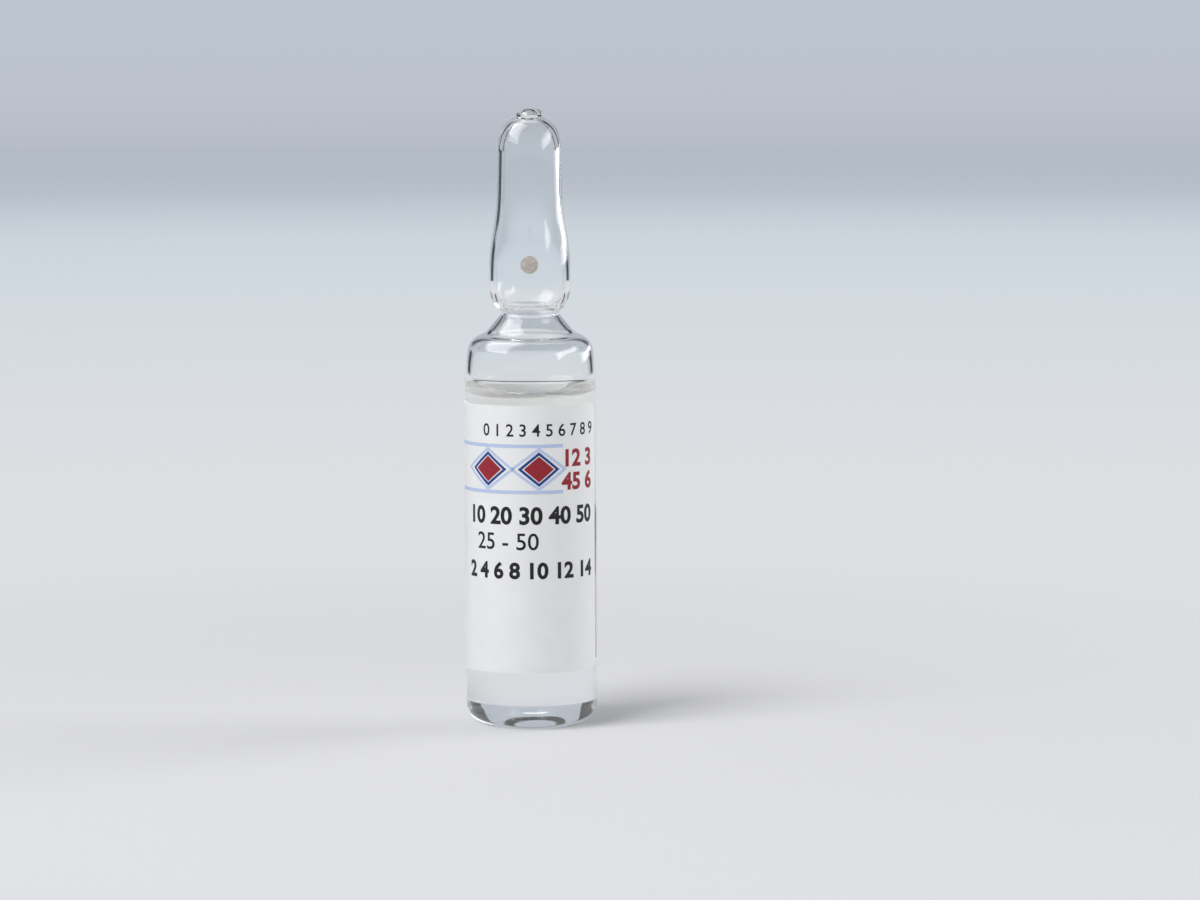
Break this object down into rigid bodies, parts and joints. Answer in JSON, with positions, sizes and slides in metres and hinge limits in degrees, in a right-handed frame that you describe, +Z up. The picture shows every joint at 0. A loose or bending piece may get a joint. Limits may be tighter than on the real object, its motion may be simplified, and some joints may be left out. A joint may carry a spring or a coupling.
{
  "type": "glass ampoule",
  "caption": "Sealed glass ampoule with a clear liquid, a white wrap label, a waisted neck with a score and an enamel break dot.",
  "frame": {"origin": "centre of the foot, on the surface that the ampoule stands on", "axes": "+Z runs up the axis to the sealed tip, and the enamel dot and the middle of the print face -Y"},
  "size_m": [0.0149, 0.015, 0.0694],
  "materials": {
    "clear_glass": "clear colourless glass, smooth and fire-polished",
    "clear_solution": "clear colourless liquid",
    "label_paper": "smooth coated white paper with printed bars and figures",
    "dot_enamel": "matt warm grey enamel, a little mottled"
  },
  "bodies": {
    "root": {"glass_ampoule": "clear_glass", "solution": "clear_solution", "label": "label_paper", "break_dot": "dot_enamel"}
  },
  "joints": []
}
